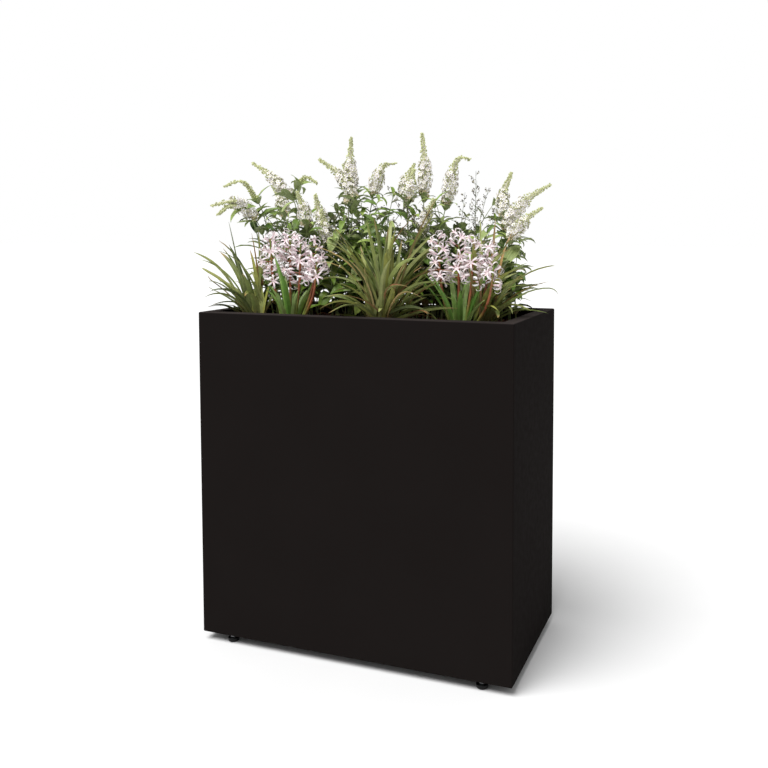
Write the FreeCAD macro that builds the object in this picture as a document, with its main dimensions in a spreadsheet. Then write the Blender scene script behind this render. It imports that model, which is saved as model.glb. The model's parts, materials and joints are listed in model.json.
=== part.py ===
"""Raised planter box: a folded sheet-metal shell on four levelling feet, filled and planted.

Millimetres. The origin is on the ground, midway between the feet. +Z is up, the long front
faces -Y and +X points to the right of someone who looks at the front.
"""
import FreeCAD, Part
import os
import re
import Sketcher

UP = FreeCAD.Vector(0, 0, 1)
ORIGIN = FreeCAD.Vector(0, 0, 0)

# Driving dimensions, each a cell of the document's spreadsheet.
DIMENSIONS = {
    # shell
    "box_width": 800,
    "box_depth": 400,
    "box_height": 804,
    "ground_gap": 20,
    "sheet": 2,
    "bend_radius": 3,
    "rim_width": 30,
    "bottom_flange": 40,
    "mitre_depth": 60,
    "overrun": 10,
    # raised floor
    "floor_level": 362,
    "floor_skirt": 30,
    "floor_gap": 1,
    "drain_radius": 6,
    "drain_spacing_along": 150,
    "drain_spacing_across": 110,
    "ledge_leg": 25,
    "ledge_wall": 3,
    "ledge_front_length": 700,
    "ledge_side_length": 300,
    "stiffener_width": 40,
    "stiffener_height": 25,
    "stiffener_wall": 2,
    "stiffener_offset": 180,
    # filling
    "fill_gap": 3,
    "pebble_depth": 50,
    "fleece_thickness": 2,
    "mulch_depth": 15,
    "mulch_below_rim": 27,
    # levelling feet
    "foot_from_end": 75,
    "foot_from_face": 21,
    "pad_radius": 14,
    "pad_height": 10,
    "pad_bottom_round": 4,
    "pad_top_round": 1.5,
    "head_radius": 7,
    "head_height": 3,
    "head_level": 4,
    "running_fit": 0.08,
    "stud_radius": 4,
    "stud_top": 52,
    "collar_level": 10.4,
    "collar_height": 5,
    "hexagon_circumradius": 7.5,
    "lock_nut_height": 4,
    "weld_nut_width": 14,
    "weld_nut_height": 8,
    "plate_length": 125,
    "plate_depth": 75,
    "plate_thickness": 4,
    "clearance_radius": 4.5,
}

# Each plant's envelope rises from a square foot on the mulch to its widest level and narrows
# to its top: the foot's centre, the widest rectangle, and the heights of both above the mulch.
PLANTS = {
    "grass_left": dict(foot=(-320, -110), wide=(-440, -280, -215, -15), heights=(140, 215)),
    "hyacinth_left": dict(foot=(-200, -105), wide=(-270, -130, -180, -15), heights=(150, 225)),
    "grass_centre": dict(foot=(20, -110), wide=(-120, 150, -215, -15), heights=(150, 225)),
    "hyacinth_right": dict(foot=(235, -105), wide=(160, 320, -180, -15), heights=(150, 225)),
    "grass_right": dict(foot=(322, -110), wide=(330, 440, -215, -15), heights=(140, 205)),
    "loosestrife_left": dict(foot=(-328, 95), wide=(-440, -320, 5, 215), heights=(240, 350)),
    "sprig_left": dict(foot=(-275, 90), wide=(-310, -240, 5, 160), heights=(180, 270)),
    "loosestrife_centre_left": dict(foot=(-130, 95), wide=(-230, -20, 5, 215), heights=(300, 440)),
    "loosestrife_centre_right": dict(foot=(60, 95), wide=(-10, 150, 5, 215), heights=(300, 464)),
    "sprig_right": dict(foot=(200, 90), wide=(160, 240, 5, 160), heights=(260, 385)),
    "loosestrife_right": dict(foot=(325, 95), wide=(250, 440, 5, 215), heights=(290, 430)),
}
PLANT_FOOT_HALF = 20
PLANT_TOP_SHARE = 0.55

# Sign of X and Y for each foot.
FEET = {
    "front_left": (-1, -1),
    "front_right": (1, -1),
    "back_left": (-1, 1),
    "back_right": (1, 1),
}

doc = FreeCAD.newDocument("raised_planter")
sheet = doc.addObject("Spreadsheet::Sheet", "dimensions")
nodes = {}


def fill_sheet(values):
    """Write each named value into the sheet as a cell with an alias."""
    for row, (alias, value) in enumerate(values.items(), start=1):
        sheet.set(f"A{row}", alias)
        sheet.set(f"B{row}", str(value))
        sheet.setAlias(f"B{row}", alias)
    doc.recompute()


def formula(text):
    """Point every dimension's name in an expression at the sheet."""
    return re.sub(
        r"[a-z][a-z_0-9]*",
        lambda word: f"dimensions.{word[0]}" if word[0] in DIMENSIONS else word[0],
        str(text),
    )


def bind(item, **properties):
    """Bind properties of an object to expressions in the sheet's names."""
    for name, text in properties.items():
        item.setExpression(name, formula(text))


def move(item, x=0, y=0, z=0):
    """Bind the place of an object."""
    for axis, text in (("x", x), ("y", y), ("z", z)):
        item.setExpression(f"Placement.Base.{axis}", formula(text))


def node(item, name):
    """Name a finished sub-part."""
    item.Label = name
    nodes[name] = item
    return item


def box(name, length, width, height, x, y, z):
    """A block whose lowest corner is at x, y, z."""
    item = doc.addObject("Part::Box", name)
    bind(item, Length=length, Width=width, Height=height)
    move(item, x, y, z)
    return item


def centred_box(name, length, width, height, z, x=0, y=0):
    """A block centred on x, y, standing on z."""
    return box(name, length, width, height, f"{x} - ({length}) / 2", f"{y} - ({width}) / 2", z)


def cylinder(name, radius, height, x, y, z):
    item = doc.addObject("Part::Cylinder", name)
    bind(item, Radius=radius, Height=height)
    move(item, x, y, z)
    return item


def hexagon(name, circumradius, height, x, y, z):
    item = doc.addObject("Part::Prism", name)
    item.Polygon = 6
    bind(item, Circumradius=circumradius, Height=height)
    move(item, x, y, z)
    return item


def fuse(name, items):
    item = doc.addObject("Part::MultiFuse", name)
    item.Shapes = items
    return item


def cut(name, base, tools):
    item = doc.addObject("Part::Cut", name)
    item.Base = base
    item.Tool = tools[0] if len(tools) == 1 else fuse(name + "_tools", tools)
    return item


def group(name, items):
    """Separate, identical solids that share a node."""
    item = doc.addObject("Part::Compound", name)
    item.Links = items
    return item


def body_feature(body, kind, name, place, **sizes):
    """An additive or subtractive primitive in a body, at place."""
    feature = body.newObject("PartDesign::" + kind, name)
    bind(feature, **sizes)
    move(feature, *place)
    return feature


def round_edges(body, base, name, radius, chosen):
    """Fillet the edges of a feature that the test picks."""
    doc.recompute()
    picked = [f"Edge{i}" for i, edge in enumerate(base.Shape.Edges, start=1) if chosen(edge)]
    fillet = body.newObject("PartDesign::Fillet", name)
    fillet.Base = (base, picked)
    bind(fillet, Radius=radius)
    return fillet


def outline_body(name, corners, length, plane="XZ_Plane"):
    """A body padded, half its length each way, from a closed outline of (across, up) expressions.

    A coordinate of 0 puts the corner on that axis.
    """
    body = doc.addObject("PartDesign::Body", name)
    sketch = body.newObject("Sketcher::SketchObject", name + "_outline")
    origin_plane = next(f for f in body.Origin.OriginFeatures if f.Role == plane)
    sketch.AttachmentSupport = [(origin_plane, "")]
    sketch.MapMode = "FlatFace"
    start = [FreeCAD.Vector(*(value_of(text) for text in corner), 0) for corner in corners]
    count = len(corners)
    for i in range(count):
        sketch.addGeometry(Part.LineSegment(start[i], start[(i + 1) % count]), False)
    vertical_axis, horizontal_axis, first_point, last_point = -2, -1, 1, 2
    for i, corner in enumerate(corners):
        sketch.addConstraint(
            Sketcher.Constraint("Coincident", i, last_point, (i + 1) % count, first_point)
        )
        kinds = (("DistanceX", vertical_axis), ("DistanceY", horizontal_axis))
        for (kind, axis), text in zip(kinds, corner):
            if text == 0:
                sketch.addConstraint(Sketcher.Constraint("PointOnObject", i, first_point, axis))
                continue
            number = sketch.addConstraint(
                Sketcher.Constraint(kind, -1, first_point, i, first_point, value_of(text))
            )
            sketch.setExpression(f"Constraints[{number}]", formula(text))
    pad = body.newObject("PartDesign::Pad", name + "_pad")
    pad.Profile = sketch
    pad.Midplane = True
    bind(pad, Length=length)
    return body


def value_of(text):
    """The number that an expression in the sheet's names comes to."""
    return float(FreeCAD.Units.Quantity(sheet.evalExpression(str(formula(text)))))


def outer_shell():
    """The whole folded shell: walls, rim turned in at the top, flange turned in at the bottom."""
    body = doc.addObject("PartDesign::Body", "shell_blank")
    blank = body_feature(
        body, "AdditiveBox", "blank", ("-box_width / 2", "-box_depth / 2", "ground_gap"),
        Length="box_width", Width="box_depth", Height="box_height",
    )
    round_edges(body, blank, "bends", "bend_radius", lambda edge: True)
    body_feature(
        body, "SubtractiveBox", "inside",
        ("sheet - box_width / 2", "sheet - box_depth / 2", "ground_gap + sheet"),
        Length="box_width - 2 * sheet",
        Width="box_depth - 2 * sheet",
        Height="box_height - 2 * sheet",
    )
    body_feature(
        body, "SubtractiveBox", "planting_mouth",
        ("rim_width - box_width / 2", "rim_width - box_depth / 2", "floor_level"),
        Length="box_width - 2 * rim_width",
        Width="box_depth - 2 * rim_width",
        Height="box_height",
    )
    body_feature(
        body, "SubtractiveBox", "underside_mouth",
        ("bottom_flange - box_width / 2", "bottom_flange - box_depth / 2", "0"),
        Length="box_width - 2 * bottom_flange",
        Width="box_depth - 2 * bottom_flange",
        Height="floor_level",
    )
    for foot, signs in FEET.items():
        body_feature(
            body, "SubtractiveCylinder", "stud_hole_" + foot, (*foot_centre(signs), "0"),
            Radius="clearance_radius", Height="2 * ground_gap",
        )
    return body


def foot_centre(signs):
    """Where a foot stands, as expressions."""
    along, across = signs
    return (
        f"{along} * (box_width / 2 - foot_from_end)",
        f"{across} * (box_depth / 2 - foot_from_face)",
    )


def mitre_wedge(name, length, distance, turn):
    """A block with 45 degree ends that holds one wall, turned from the front about +Z."""
    wedge = doc.addObject("Part::Wedge", name)
    bind(
        wedge,
        Ymin=f"-({distance}) / 2 - overrun", Ymax=f"-({distance}) / 2 + mitre_depth",
        Xmin=f"-({length}) / 2 - overrun", Xmax=f"({length}) / 2 + overrun",
        X2min=f"-({length}) / 2 + mitre_depth", X2max=f"({length}) / 2 - mitre_depth",
        Zmin="0", Zmax="ground_gap + box_height + overrun",
        Z2min="0", Z2max="ground_gap + box_height + overrun",
    )
    wedge.Placement = FreeCAD.Placement(ORIGIN, FreeCAD.Rotation(UP, turn))
    return wedge


def wall_panels():
    """Four folded panels, mitred at the corners, each with its share of the rim and flange."""
    shell = outer_shell()
    walls = {
        "front_panel": ("box_width", "box_depth", 0),
        "right_panel": ("box_depth", "box_width", 90),
        "back_panel": ("box_width", "box_depth", 180),
        "left_panel": ("box_depth", "box_width", 270),
    }
    for name, (length, distance, turn) in walls.items():
        panel = doc.addObject("Part::Common", name)
        panel.Base = shell
        panel.Tool = mitre_wedge(name + "_wedge", length, distance, turn)
        node(panel, name)


def floor_ledges():
    """An angle bar on each wall, which carries the raised floor."""
    angle = [
        (0, 0),
        ("ledge_leg", 0),
        ("ledge_leg", "-ledge_wall"),
        ("ledge_wall", "-ledge_wall"),
        ("ledge_wall", "-ledge_leg"),
        (0, "-ledge_leg"),
    ]
    top = "floor_level - floor_skirt"
    side = "box_width / 2 - sheet"
    end = "box_depth / 2 - sheet"
    # the outline's plane faces -Y, so unturned the bar runs along Y on the left wall
    places = {
        "floor_ledge_left": (f"-({side})", "0", "ledge_side_length", 0),
        "floor_ledge_front": ("0", f"-({end})", "ledge_front_length", 90),
        "floor_ledge_right": (side, "0", "ledge_side_length", 180),
        "floor_ledge_back": ("0", end, "ledge_front_length", 270),
    }
    for name, (x, y, length, turn) in places.items():
        ledge = outline_body(name, angle, length)
        ledge.Placement = FreeCAD.Placement(ORIGIN, FreeCAD.Rotation(UP, turn))
        move(ledge, x, y, top)
        node(ledge, name)


def planting_floor():
    """A pan with a downturned skirt and rows of drain holes, standing on the ledges."""
    length = "box_width - 2 * (sheet + floor_gap)"
    width = "box_depth - 2 * (sheet + floor_gap)"
    pan = centred_box("pan_blank", length, width, "floor_skirt", "floor_level - floor_skirt")
    hollow = centred_box(
        "pan_hollow", f"{length} - 2 * sheet", f"{width} - 2 * sheet", "floor_skirt",
        "floor_level - floor_skirt - sheet",
    )
    drains = [
        cylinder(
            f"drain_{column}_{row}", "drain_radius", "4 * sheet",
            f"{column - 2} * drain_spacing_along", f"{row - 1} * drain_spacing_across",
            "floor_level - 2 * sheet",
        )
        for column in range(5)
        for row in range(3)
    ]
    node(cut("planting_floor_cut", pan, [hollow] + drains), "planting_floor")


def floor_stiffeners():
    """Two channels welded under the floor, open side down."""
    half = "stiffener_width / 2"
    inner = "stiffener_width / 2 - stiffener_wall"
    channel = [
        (f"-{half}", 0),
        (half, 0),
        (half, "-stiffener_height"),
        (inner, "-stiffener_height"),
        (inner, "-stiffener_wall"),
        (f"-({inner})", "-stiffener_wall"),
        (f"-({inner})", "-stiffener_height"),
        (f"-{half}", "-stiffener_height"),
    ]
    length = "box_depth - 2 * (2 * sheet + 2 * floor_gap)"
    for name, side in (("floor_stiffener_left", -1), ("floor_stiffener_right", 1)):
        stiffener = outline_body(name, channel, length)
        move(stiffener, f"{side} * stiffener_offset", 0, "floor_level - sheet")
        node(stiffener, name)


def filling():
    """Clay pebbles, a filter fleece, soil and a bark mulch, one on the other."""
    length = "box_width - 2 * (sheet + fill_gap)"
    width = "box_depth - 2 * (sheet + fill_gap)"
    mulch_top = "ground_gap + box_height - mulch_below_rim"
    soil_bottom = "floor_level + pebble_depth + fleece_thickness"
    layers = {
        "drainage_pebbles": ("floor_level", "pebble_depth"),
        "filter_fleece": ("floor_level + pebble_depth", "fleece_thickness"),
        "potting_soil": (soil_bottom, f"{mulch_top} - mulch_depth - ({soil_bottom})"),
        "bark_mulch": (f"{mulch_top} - mulch_depth", "mulch_depth"),
    }
    for name, (level, depth) in layers.items():
        node(centred_box(name + "_block", length, width, depth, level), name)


def corner_plates():
    """A plate in each corner, on the bottom flange, that spreads the load of a foot."""
    for foot, signs in FEET.items():
        along, across = signs
        x, y = foot_centre(signs)
        plate = centred_box(
            f"plate_{foot}_blank", "plate_length", "plate_depth", "plate_thickness",
            "ground_gap + sheet",
            f"{along} * (box_width / 2 - sheet - plate_length / 2)",
            f"{across} * (box_depth / 2 - sheet - plate_depth / 2)",
        )
        bore = cylinder(
            f"plate_{foot}_bore", "clearance_radius", "4 * plate_thickness", x, y, "ground_gap"
        )
        node(cut(f"plate_{foot}", plate, [bore]), "corner_plate_" + foot)


def foot_nuts():
    """The weld nuts on the corner plates and the lock nuts under the flange, four of each."""
    weld_nuts, lock_nuts = [], []
    for foot, signs in FEET.items():
        x, y = foot_centre(signs)
        thread = cylinder(
            f"thread_{foot}", "stud_radius + running_fit", "2 * stud_top", x, y, "0"
        )
        weld_blank = centred_box(
            f"weld_nut_{foot}_blank", "weld_nut_width", "weld_nut_width", "weld_nut_height",
            "ground_gap + sheet + plate_thickness", x, y,
        )
        lock_blank = hexagon(
            f"lock_nut_{foot}_blank", "hexagon_circumradius", "lock_nut_height",
            x, y, "ground_gap - lock_nut_height",
        )
        weld_nuts.append(cut(f"weld_nut_{foot}", weld_blank, [thread]))
        lock_nuts.append(cut(f"lock_nut_{foot}", lock_blank, [thread]))
    node(group("weld_nut_group", weld_nuts), "weld_nuts")
    node(group("lock_nut_group", lock_nuts), "lock_nuts")


def levelling_feet():
    """A threaded stud whose round head turns in the socket of a domed pad, four times."""
    for foot, signs in FEET.items():
        x, y = foot_centre(signs)
        node(foot_pad("pad_" + foot, x, y), "foot_pad_" + foot)
        head = cylinder(f"stud_{foot}_head", "head_radius", "head_height", x, y, "head_level")
        shank = cylinder(
            f"stud_{foot}_shank", "stud_radius", "stud_top - head_level", x, y, "head_level"
        )
        collar = hexagon(
            f"stud_{foot}_collar", "hexagon_circumradius", "collar_height", x, y, "collar_level"
        )
        node(fuse("stud_" + foot, [head, shank, collar]), "foot_stud_" + foot)


def foot_pad(name, x, y):
    """A round pad with a rounded underside and an undercut socket for the stud's head."""
    body = doc.addObject("PartDesign::Body", name)
    disc = body_feature(
        body, "AdditiveCylinder", name + "_disc", (0, 0, 0),
        Radius="pad_radius", Height="pad_height",
    )
    low = round_edges(
        body, disc, name + "_underside", "pad_bottom_round",
        lambda edge: is_circle(edge) and edge.CenterOfMass.z < 1,
    )
    round_edges(
        body, low, name + "_shoulder", "pad_top_round",
        lambda edge: is_circle(edge) and edge.CenterOfMass.z > value_of("pad_height - 1"),
    )
    body_feature(
        body, "SubtractiveCylinder", name + "_socket", (0, 0, "head_level - running_fit"),
        Radius="head_radius + running_fit", Height="head_height + 2 * running_fit",
    )
    body_feature(
        body, "SubtractiveCylinder", name + "_neck", (0, 0, "head_level"),
        Radius="stud_radius + running_fit", Height="pad_height",
    )
    move(body, x, y, 0)
    return body


def is_circle(edge):
    return isinstance(edge.Curve, Part.Circle)


def envelope_part(name, low, high, low_level, high_level):
    """A tapered block between two upright-stacked rectangles, each (x0, x1, y0, y1)."""
    wedge = doc.addObject("Part::Wedge", name)
    # the wedge tapers along its own Y, which the turn about X stands upright
    wedge.Placement = FreeCAD.Placement(ORIGIN, FreeCAD.Rotation(FreeCAD.Vector(1, 0, 0), 90))
    bind(
        wedge,
        Ymin=low_level, Ymax=high_level,
        Xmin=low[0], Xmax=low[1], X2min=high[0], X2max=high[1],
        Zmin=-low[3], Zmax=-low[2], Z2min=-high[3], Z2max=-high[2],
    )
    return wedge


def plants():
    """A closed, convex envelope for each plant."""
    mulch_top = "ground_gap + box_height - mulch_below_rim"
    for name, plant in PLANTS.items():
        foot_x, foot_y = plant["foot"]
        wide = plant["wide"]
        wide_height, top_height = plant["heights"]
        foot = (
            foot_x - PLANT_FOOT_HALF, foot_x + PLANT_FOOT_HALF,
            foot_y - PLANT_FOOT_HALF, foot_y + PLANT_FOOT_HALF,
        )
        middle_x = (wide[0] + wide[1]) / 2
        middle_y = (wide[2] + wide[3]) / 2
        top = tuple(
            middle + PLANT_TOP_SHARE * (edge - middle)
            for edge, middle in zip(wide, (middle_x, middle_x, middle_y, middle_y))
        )
        lower = envelope_part(
            name + "_lower", foot, wide, mulch_top, f"{mulch_top} + {wide_height}"
        )
        upper = envelope_part(
            name + "_upper", wide, top,
            f"{mulch_top} + {wide_height}", f"{mulch_top} + {top_height}",
        )
        node(fuse(name + "_envelope", [lower, upper]), name)


def check_document():
    """Stop if any object failed, or any sub-part is empty or broken."""
    for item in doc.Objects:
        if {"Invalid", "Error"} & set(item.State):
            raise RuntimeError(f"{item.Name} failed: {item.State}")
    for name, item in nodes.items():
        if item.Shape.isNull() or not item.Shape.isValid() or not item.Shape.Solids:
            raise RuntimeError(f"{name} has no valid solid")


def export_nodes():
    os.makedirs("parts", exist_ok=True)
    for name, item in nodes.items():
        item.Shape.exportStep(f"parts/{name}.step")
        solids = len(item.Shape.Solids)
        print(f"{name}: {item.Shape.Volume / 1000:.1f} cm3, {solids} solid(s)")


fill_sheet(DIMENSIONS)
wall_panels()
floor_ledges()
planting_floor()
floor_stiffeners()
filling()
corner_plates()
foot_nuts()
levelling_feet()
plants()
doc.recompute()
check_document()
export_nodes()
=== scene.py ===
import json
import math

import bpy
import numpy as np
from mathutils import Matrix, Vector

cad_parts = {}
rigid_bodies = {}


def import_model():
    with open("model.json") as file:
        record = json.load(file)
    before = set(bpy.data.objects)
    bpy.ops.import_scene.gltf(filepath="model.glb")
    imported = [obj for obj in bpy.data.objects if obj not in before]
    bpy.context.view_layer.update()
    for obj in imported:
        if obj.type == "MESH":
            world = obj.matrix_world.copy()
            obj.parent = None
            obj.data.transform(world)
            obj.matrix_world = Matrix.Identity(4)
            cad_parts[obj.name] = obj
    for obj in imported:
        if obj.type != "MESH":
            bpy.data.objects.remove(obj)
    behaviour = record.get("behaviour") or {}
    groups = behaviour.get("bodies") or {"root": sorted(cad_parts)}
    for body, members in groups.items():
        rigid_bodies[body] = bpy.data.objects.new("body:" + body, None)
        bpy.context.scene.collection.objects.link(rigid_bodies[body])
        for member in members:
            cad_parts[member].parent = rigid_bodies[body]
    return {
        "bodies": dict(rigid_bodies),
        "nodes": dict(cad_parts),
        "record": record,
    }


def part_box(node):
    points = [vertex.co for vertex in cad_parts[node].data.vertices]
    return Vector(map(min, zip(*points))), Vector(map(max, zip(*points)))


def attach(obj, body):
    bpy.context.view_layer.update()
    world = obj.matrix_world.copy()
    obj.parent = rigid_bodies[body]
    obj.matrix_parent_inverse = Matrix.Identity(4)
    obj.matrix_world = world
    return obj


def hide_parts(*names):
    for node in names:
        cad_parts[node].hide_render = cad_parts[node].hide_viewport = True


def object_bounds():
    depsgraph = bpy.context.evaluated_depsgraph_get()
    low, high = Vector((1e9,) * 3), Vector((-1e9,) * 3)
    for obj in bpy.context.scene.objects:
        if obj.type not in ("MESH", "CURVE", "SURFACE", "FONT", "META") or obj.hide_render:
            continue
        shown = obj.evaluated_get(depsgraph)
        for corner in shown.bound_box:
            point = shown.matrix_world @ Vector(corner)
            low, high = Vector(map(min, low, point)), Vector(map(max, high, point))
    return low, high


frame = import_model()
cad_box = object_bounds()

# A raised planter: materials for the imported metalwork, and detailed meshes for the planting.
# Metres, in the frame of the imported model: +Z up, the long front faces -Y.

MM = 0.001
TURN = 2 * math.pi
GOLDEN_ANGLE = math.pi * (3 - math.sqrt(5))
UP = np.array((0.0, 0.0, 1.0))


def mm(*values):
    """Millimetres, as an array of metres."""
    return np.array(values) * MM


def heading(angle):
    """The level direction at an angle from +X."""
    return np.array((math.cos(angle), math.sin(angle), 0))


def sideways(angle):
    """The level direction a quarter turn past heading(angle)."""
    return np.array((-math.sin(angle), math.cos(angle), 0))


def slant(rng, low, high):
    """A random angle between two angles given in degrees."""
    return math.radians(rng.uniform(low, high))


def corners(node):
    """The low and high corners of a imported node."""
    return [np.array(corner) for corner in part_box(node)]


def add_object(name, data):
    """Put a camera, light or mesh into the scene."""
    made = bpy.data.objects.new(name, data)
    bpy.context.scene.collection.objects.link(made)
    return made


RIM_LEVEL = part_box("front_panel")[1].z
GROWING_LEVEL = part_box("bark_mulch")[1].z
BOX_HALF = corners("right_panel")[1][:2]
RIM_WIDTH = 30 * MM
CAD_LOW, CAD_HIGH = (np.array(corner) for corner in cad_box)


def rooted(x, y, depth=5 * MM):
    """A point a little under the top of the mulch."""
    return np.array((x, y, GROWING_LEVEL - depth))


# ---- camera, floor and light

CAMERA_PLACE = (0.8725, -1.9671, 1.0179)
CAMERA_YAW = 0.3511
CAMERA_PITCH = 0.0598
CAMERA_LENS = 40.19
CAMERA_SHIFT = (-0.0694, -0.13)
FLOOR_SIZE = 120.0
FLOOR_DROP = 0.0006
KEY_ENERGY, KEY_ELEVATION, KEY_AZIMUTH, KEY_ANGLE = 3.1, 62, -24, 40
AMBIENT = 0.42
WHITE = (1, 1, 1, 1)


def make_camera():
    """Stand the camera where the planter shows its long front and its right side."""
    data = bpy.data.cameras.new("camera")
    data.lens = CAMERA_LENS
    data.shift_x, data.shift_y = CAMERA_SHIFT
    camera = add_object("camera", data)
    camera.location = CAMERA_PLACE
    camera.rotation_euler = (math.pi / 2 - CAMERA_PITCH, 0, CAMERA_YAW)
    bpy.context.scene.camera = camera


def make_key_light():
    """A soft sun, high over the front and a little to the left."""
    data = bpy.data.lights.new("key", "SUN")
    data.energy, data.angle = KEY_ENERGY, math.radians(KEY_ANGLE)
    light = add_object("key", data)
    light.rotation_euler = (math.radians(90 - KEY_ELEVATION), 0, math.radians(KEY_AZIMUTH))


def make_surroundings():
    """White surroundings, which light the planter less than they show."""
    world = bpy.data.worlds.new("studio")
    bpy.context.scene.world = world
    world.use_nodes = True
    nodes, links = world.node_tree.nodes, world.node_tree.links
    lighting, seen = nodes["Background"], nodes.new("ShaderNodeBackground")
    for background, strength in ((lighting, AMBIENT), (seen, 1.0)):
        background.inputs["Color"].default_value = WHITE
        background.inputs["Strength"].default_value = strength
    path = nodes.new("ShaderNodeLightPath")
    choose = nodes.new("ShaderNodeMixShader")
    links.new(path.outputs["Is Camera Ray"], choose.inputs["Fac"])
    links.new(lighting.outputs[0], choose.inputs[1])
    links.new(seen.outputs[0], choose.inputs[2])
    links.new(choose.outputs[0], nodes["World Output"].inputs["Surface"])
    bpy.context.scene.view_settings.view_transform = "Standard"


def make_floor():
    """A plain pale floor, just under the feet."""
    mesh = bpy.data.meshes.new("floor")
    half = FLOOR_SIZE / 2
    outline = [(-half, -half, 0), (half, -half, 0), (half, half, 0), (-half, half, 0)]
    mesh.from_pydata(outline, [], [(0, 1, 2, 3)])
    floor = add_object("floor", mesh)
    floor.location.z = -FLOOR_DROP
    pale = Shader("pale_floor", roughness=0.9, specular=0.0)
    pale.color(pale.blend(pale.noise(3.0), (0.86, 0.86, 0.86), (0.9, 0.9, 0.9)))
    floor.data.materials.append(pale.material)


# ---- materials


def srgb(red, green, blue):
    """A colour given as 0-255 screen values, as linear light."""
    share = np.array((red, green, blue)) / 255
    return np.where(share > 0.04045, ((share + 0.055) / 1.055) ** 2.4, share / 12.92)


class Shader:
    """One Principled material, with short calls for the nodes that these finishes use."""

    def __init__(self, name, roughness=0.5, specular=0.5, metallic=0.0, coat=0.0,
                 coat_roughness=0.1, subsurface=0.0, sheen=0.0):
        self.material = bpy.data.materials.new(name)
        self.material.use_nodes = True
        self.nodes = self.material.node_tree.nodes
        self.links = self.material.node_tree.links
        self.surface = self.nodes["Principled BSDF"]
        settings = {"Roughness": roughness, "Specular IOR Level": specular, "Metallic": metallic,
                    "Coat Weight": coat, "Coat Roughness": coat_roughness, "Sheen Weight": sheen,
                    "Subsurface Weight": subsurface, "Subsurface Scale": 2 * MM,
                    "Subsurface Radius": (1.0, 1.0, 1.0)}
        for socket, value in settings.items():
            self.surface.inputs[socket].default_value = value
        self.place = self.node("TexCoord").outputs["Object"]

    def node(self, kind, inputs=(), **settings):
        """Add a node, with its properties set by name and its inputs by name or number."""
        made = self.nodes.new("ShaderNode" + kind)
        for name, value in settings.items():
            setattr(made, name, value)
        for key, value in dict(inputs).items():
            self.feed(made.inputs[key], value)
        return made

    def feed(self, socket, value):
        """Give a socket a link, a number or a colour."""
        if isinstance(value, bpy.types.NodeSocket):
            self.links.new(value, socket)
        elif np.ndim(value) and len(socket.default_value) == 4:
            socket.default_value = (*map(float, value), 1.0)
        else:
            socket.default_value = value

    def stretch(self, factors):
        """The place on the object, scaled along each axis."""
        return self.node("Mapping", {"Vector": self.place, "Scale": factors}).outputs[0]

    def noise(self, scale, detail=2.0, roughness=0.5, where=None):
        inputs = {"Vector": where or self.place, "Scale": scale, "Detail": detail,
                  "Roughness": roughness}
        return self.node("TexNoise", inputs).outputs["Fac"]

    def cells(self, scale, feature="F1"):
        inputs = {"Vector": self.place, "Scale": scale}
        return self.node("TexVoronoi", inputs, feature=feature).outputs["Distance"]

    def attribute(self, name, output="Color"):
        return self.node("Attribute", attribute_name=name).outputs[output]

    def split(self, vector):
        return self.node("SeparateXYZ", {0: vector}).outputs

    def math(self, operation, first, second=0.0):
        inputs = {0: first, 1: second}
        return self.node("Math", inputs, operation=operation).outputs[0]

    def span(self, value, low, high, out_low=0.0, out_high=1.0):
        """Rescale a value from one range to another, without passing the ends."""
        inputs = enumerate((value, low, high, out_low, out_high))
        made = self.node("MapRange", inputs, interpolation_type="SMOOTHSTEP")
        return made.outputs[0]

    def blend(self, share, first, second, mode="MIX"):
        inputs = {"Factor": share, 6: first, 7: second}
        made = self.node("Mix", inputs, data_type="RGBA", blend_type=mode)
        return made.outputs[2]

    def gray(self, value):
        """A number as a grey colour."""
        return self.node("CombineXYZ", {0: value, 1: value, 2: value}).outputs[0]

    def color(self, value):
        self.feed(self.surface.inputs["Base Color"], value)

    def rough(self, value):
        self.feed(self.surface.inputs["Roughness"], value)

    def bump(self, height, depth, strength):
        """Raise the surface by a height from 0 to 1, times a depth in metres."""
        inputs = {"Strength": strength, "Distance": depth, "Height": height}
        made = self.node("Bump", inputs)
        normal = self.surface.inputs["Normal"]
        if normal.is_linked:
            self.links.new(normal.links[0].from_socket, made.inputs["Normal"])
        self.feed(normal, made.outputs["Normal"])


def powder_coat(name, dark, light, specular):
    """Black fine-texture powder coating: a close pebbled skin; what faces up is lighter, partly
    faint dust and partly painted light from above.
    """
    # What faces up is blended towards the light tone times this gain: partly faint dust, partly
    # painted light from above that lightens the top faces.
    dust_and_top_light_gain = 3.8
    coat = Shader(name, specular=specular)
    drift = coat.noise(5.0, detail=4.0)
    facing = coat.split(coat.node("NewGeometry").outputs["Normal"])["Z"]
    level = coat.span(facing, 0.3, 0.95)
    dust_and_top_light = coat.math("MULTIPLY", level, coat.span(drift, 0.35, 0.7, 0.55, 1.0))
    coat.color(coat.blend(dust_and_top_light, coat.blend(drift, dark, light), np.array(light) * dust_and_top_light_gain))
    coat.rough(coat.span(coat.noise(60.0, detail=3.0), 0.3, 0.7, 0.62, 0.74))
    coat.bump(coat.noise(1400.0), 0.03 * MM, 0.35)
    return coat.material


def zinc_plate():
    """Bright zinc on turned steel, with fine rings from the lathe and a dull bloom."""
    zinc = Shader("zinc_plate", metallic=1.0)
    bloom = zinc.noise(420.0, detail=4.0)
    zinc.color(zinc.blend(bloom, (0.42, 0.43, 0.45), (0.66, 0.67, 0.68)))
    zinc.rough(zinc.span(bloom, 0.3, 0.7, 0.25, 0.45))
    zinc.bump(zinc.noise(30.0, where=zinc.stretch((1, 1, 200))), 0.02 * MM, 0.5)
    return zinc.material


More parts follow.
